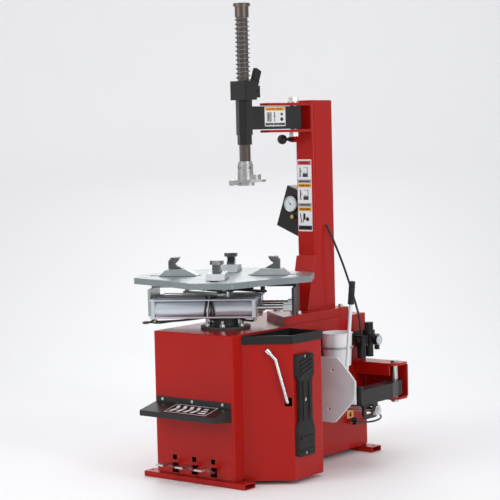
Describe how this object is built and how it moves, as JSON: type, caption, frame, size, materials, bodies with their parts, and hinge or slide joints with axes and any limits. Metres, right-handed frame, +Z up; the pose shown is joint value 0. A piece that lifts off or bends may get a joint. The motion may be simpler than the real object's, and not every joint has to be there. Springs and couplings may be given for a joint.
{
  "type": "tire changer machine",
  "caption": "Swing-arm tire changer with a clamping turntable, a sprung mount-head shaft, foot pedals and a side bead breaker.",
  "frame": {"origin": "on the floor, at the centre of the four floor anchor holes in the two foot rails", "axes": "+Z up, -Y towards the operator's pedals, +X towards the bead breaker"},
  "size_m": [0.7943, 1.1193, 1.84],
  "materials": {
    "red_paint": "gloss",
    "black_paint": "satin",
    "bright_steel": "brushed",
    "table_grey": "satin",
    "cast_aluminium": "satin",
    "cast_iron": "cast",
    "black_plastic": "matte",
    "black_rubber": "matte",
    "white_plastic": "gloss",
    "galvanised_steel": "satin",
    "brass": "bright"
  },
  "bodies": {
    "machine": {"base_frame": "red_paint", "cabinet_shell": "red_paint", "side_pocket": "red_paint", "tool_tray": "black_plastic", "rear_cover": "red_paint", "pedal_hood": "black_paint", "pedal_frame": "black_paint", "bead_pad": "black_rubber", "column": "red_paint", "arm_bracket": "red_paint", "pivot_pins": "bright_steel", "fasteners": "bright_steel", "gearbox_case": "cast_iron", "drive_motor": "cast_iron", "breaker_bracket": "red_paint", "breaker_cylinder": "black_paint", "bucket_ring": "galvanised_steel", "air_unit": "black_plastic", "pressure_gauges": "black_plastic", "gauge_box": "black_paint", "drive_belt": "black_rubber", "air_hose": "black_rubber", "power_cord": "black_rubber", "cord_plug": "black_plastic"},
    "turntable": {"table_top": "table_grey", "table_spindle": "bright_steel"},
    "cam": {"cam_plate": "black_paint"},
    "jaw_front": {"front_jaw": "black_paint", "front_jaw_claw": "bright_steel"},
    "jaw_rear": {"rear_jaw": "black_paint", "rear_jaw_claw": "bright_steel"},
    "jaw_left": {"left_jaw": "black_paint", "left_jaw_claw": "bright_steel", "clamp_barrels": "cast_aluminium"},
    "jaw_right": {"right_jaw": "black_paint", "right_jaw_claw": "bright_steel", "clamp_rods": "bright_steel"},
    "worm": {"worm_shaft": "bright_steel"},
    "motor_drive": {"motor_pulley": "cast_iron"},
    "arm": {"swing_arm": "black_paint", "lock_block": "black_paint", "shaft_spring": "bright_steel"},
    "shaft": {"hex_shaft": "bright_steel", "shaft_cap": "bright_steel", "head_collar": "bright_steel", "mount_head": "cast_aluminium"},
    "roller": {"head_roller": "bright_steel"},
    "lock": {"lock_lever": "black_plastic"},
    "stop": {"stop_knob": "black_plastic"},
    "bead_arm": {"breaker_arm": "black_paint"},
    "blade": {"breaker_blade": "cast_aluminium", "handle_grip": "black_plastic"},
    "rod": {"breaker_rod": "bright_steel"},
    "pedal_clamp": {"clamp_pedal": "bright_steel"},
    "pedal_breaker": {"breaker_pedal": "bright_steel"},
    "pedal_turntable": {"turntable_pedal": "bright_steel"},
    "bucket": {"soap_bucket": "white_plastic"},
    "lever": {"pry_bar": "bright_steel"},
    "regulator": {"regulator_knob": "black_plastic"},
    "button": {"inflate_button": "brass"}
  },
  "joints": [
    {"name": "turntable_spin", "type": "hinge", "parent": "machine", "child": "turntable", "pos_m": [0, -0.24, 0.78], "axis": [0, 0, 1], "continuous": true},
    {"name": "cam_turn", "type": "hinge", "parent": "turntable", "child": "cam", "pos_m": [0, -0.24, 0.73], "axis": [0, 0, 1], "range_deg": [-29, 29]},
    {"name": "front_jaw_slide", "type": "slide", "parent": "turntable", "child": "jaw_front", "axis": [0.515, -0.8572, 0], "range_m": [-0.05, 0.04]},
    {"name": "right_jaw_slide", "type": "slide", "parent": "turntable", "child": "jaw_right", "axis": [0.8572, 0.515, 0], "range_m": [-0.05, 0.04]},
    {"name": "rear_jaw_slide", "type": "slide", "parent": "turntable", "child": "jaw_rear", "axis": [-0.515, 0.8572, 0], "range_m": [-0.05, 0.04]},
    {"name": "left_jaw_slide", "type": "slide", "parent": "turntable", "child": "jaw_left", "axis": [-0.8572, -0.515, 0], "range_m": [-0.05, 0.04]},
    {"name": "worm_spin", "type": "hinge", "parent": "machine", "child": "worm", "pos_m": [0, -0.148, 0.52], "axis": [1, 0, 0], "continuous": true},
    {"name": "motor_spin", "type": "hinge", "parent": "machine", "child": "motor_drive", "pos_m": [0, -0.108, 0.33], "axis": [1, 0, 0], "continuous": true},
    {"name": "arm_swing", "type": "hinge", "parent": "machine", "child": "arm", "pos_m": [0.1, 0.102, 1.4], "axis": [0, 0, 1], "range_deg": [-25, 90]},
    {"name": "shaft_slide", "type": "slide", "parent": "arm", "child": "shaft", "axis": [0, 0, 1], "range_m": [-0.18, 0], "stiffness_N_per_m": 250, "springref_m": 0.55, "deforming": ["shaft_spring"]},
    {"name": "head_roller_spin", "type": "hinge", "parent": "shaft", "child": "roller", "pos_m": [0.05491, -0.2484, 1.148], "axis": [-0.6157, 0.788, 0], "continuous": true},
    {"name": "lock_lever_turn", "type": "hinge", "parent": "arm", "child": "lock", "pos_m": [0.095, -0.158, 1.502], "axis": [1, 0, 0], "range_deg": [-40, 0]},
    {"name": "stop_knob_turn", "type": "hinge", "parent": "machine", "child": "stop", "pos_m": [0.043, 0.14, 1.311], "axis": [0, 1, 0], "continuous": true},
    {"name": "bead_arm_swing", "type": "hinge", "parent": "machine", "child": "bead_arm", "pos_m": [0.372, 0.392, 0.29], "axis": [0, 0, 1], "range_deg": [0, 18]},
    {"name": "blade_turn", "type": "hinge", "parent": "bead_arm", "child": "blade", "pos_m": [0.384, 0.08, 0.3], "axis": [0, 1, 0], "range_deg": [-8, 8]},
    {"name": "breaker_rod_slide", "type": "slide", "parent": "machine", "child": "rod", "axis": [1, 0, 0], "range_m": [0, 0.083]},
    {"name": "clamp_pedal_press", "type": "hinge", "parent": "machine", "child": "pedal_clamp", "pos_m": [0, -0.33, 0.056], "axis": [1, 0, 0], "range_deg": [0, 5], "stiffness_Nm_per_rad": 40, "springref_deg": -5.73},
    {"name": "breaker_pedal_press", "type": "hinge", "parent": "machine", "child": "pedal_breaker", "pos_m": [0, -0.33, 0.056], "axis": [1, 0, 0], "range_deg": [0, 5], "stiffness_Nm_per_rad": 40, "springref_deg": -5.73},
    {"name": "turntable_pedal_press", "type": "hinge", "parent": "machine", "child": "pedal_turntable", "pos_m": [0, -0.33, 0.056], "axis": [1, 0, 0], "range_deg": [-4, 5], "stiffness_Nm_per_rad": 40, "springref_deg": -0.92},
    {"name": "bucket_lift", "type": "slide", "parent": "machine", "child": "bucket", "axis": [0, 0, 1], "range_m": [0, 0.14]},
    {"name": "pry_bar_pull", "type": "slide", "parent": "machine", "child": "lever", "axis": [0.507, -0.8619, 0], "range_m": [0, 0.1]},
    {"name": "regulator_turn", "type": "hinge", "parent": "machine", "child": "regulator", "pos_m": [0.248, 0.392, 0.52], "axis": [0, 0, 1], "range_deg": [-360, 360]},
    {"name": "inflate_button_press", "type": "slide", "parent": "machine", "child": "button", "axis": [0, 1, 0], "range_m": [0, 0.004], "stiffness_N_per_m": 400, "springref_m": -0.002}
  ],
  "couplings": [
    {"joint": "right_jaw_slide", "follows": "front_jaw_slide", "ratio": 1},
    {"joint": "rear_jaw_slide", "follows": "front_jaw_slide", "ratio": 1},
    {"joint": "left_jaw_slide", "follows": "front_jaw_slide", "ratio": 1},
    {"joint": "cam_turn", "follows": "front_jaw_slide", "rad_per_m": -10},
    {"joint": "worm_spin", "follows": "turntable_spin", "ratio": 36},
    {"joint": "motor_spin", "follows": "turntable_spin", "ratio": 48.706},
    {"joint": "breaker_rod_slide", "follows": "bead_arm_swing", "m_per_rad": 0.262}
  ]
}
